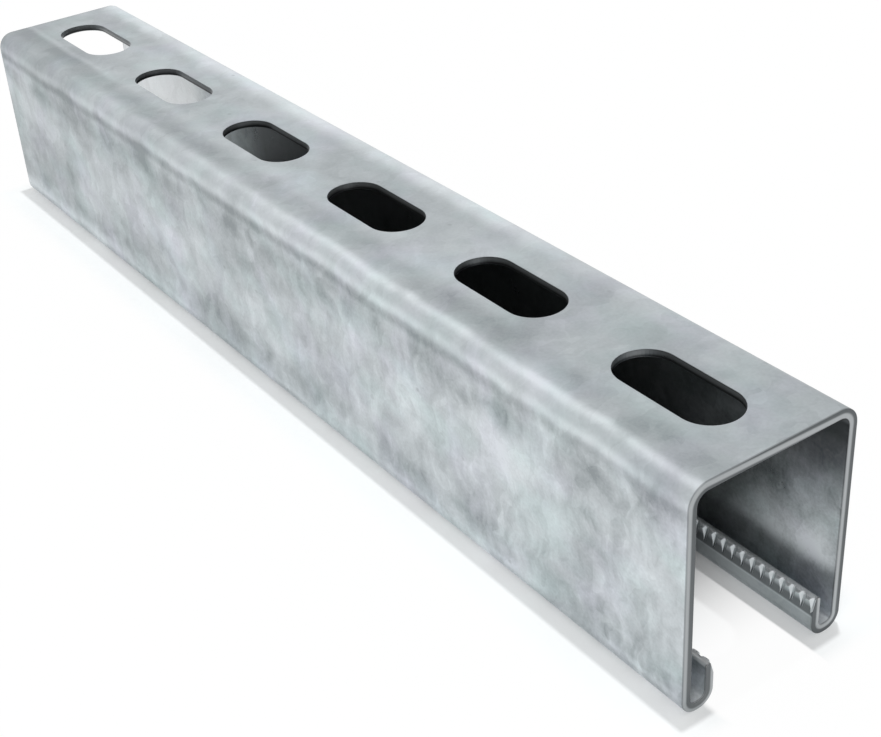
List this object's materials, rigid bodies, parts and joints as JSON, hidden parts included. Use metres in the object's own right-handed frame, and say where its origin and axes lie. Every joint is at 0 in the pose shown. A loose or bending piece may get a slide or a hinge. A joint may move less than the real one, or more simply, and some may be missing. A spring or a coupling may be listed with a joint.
{
  "type": "slotted strut channel",
  "caption": "Galvanised C-shaped solar mounting rail with long slots in its back and serrated inturned lips along its open side.",
  "frame": {"origin": "middle of the length and width, on the floor plane that the two lip rolls lie on", "axes": "+X along the rail, +Z out of the slotted back, so the rail lies mouth down"},
  "size_m": [0.3, 0.0412, 0.052],
  "materials": {
    "galvanised_steel": "hot-dip galvanised, soft mottled grey"
  },
  "bodies": {
    "root": {"mounting_rail": "galvanised_steel"}
  },
  "joints": []
}
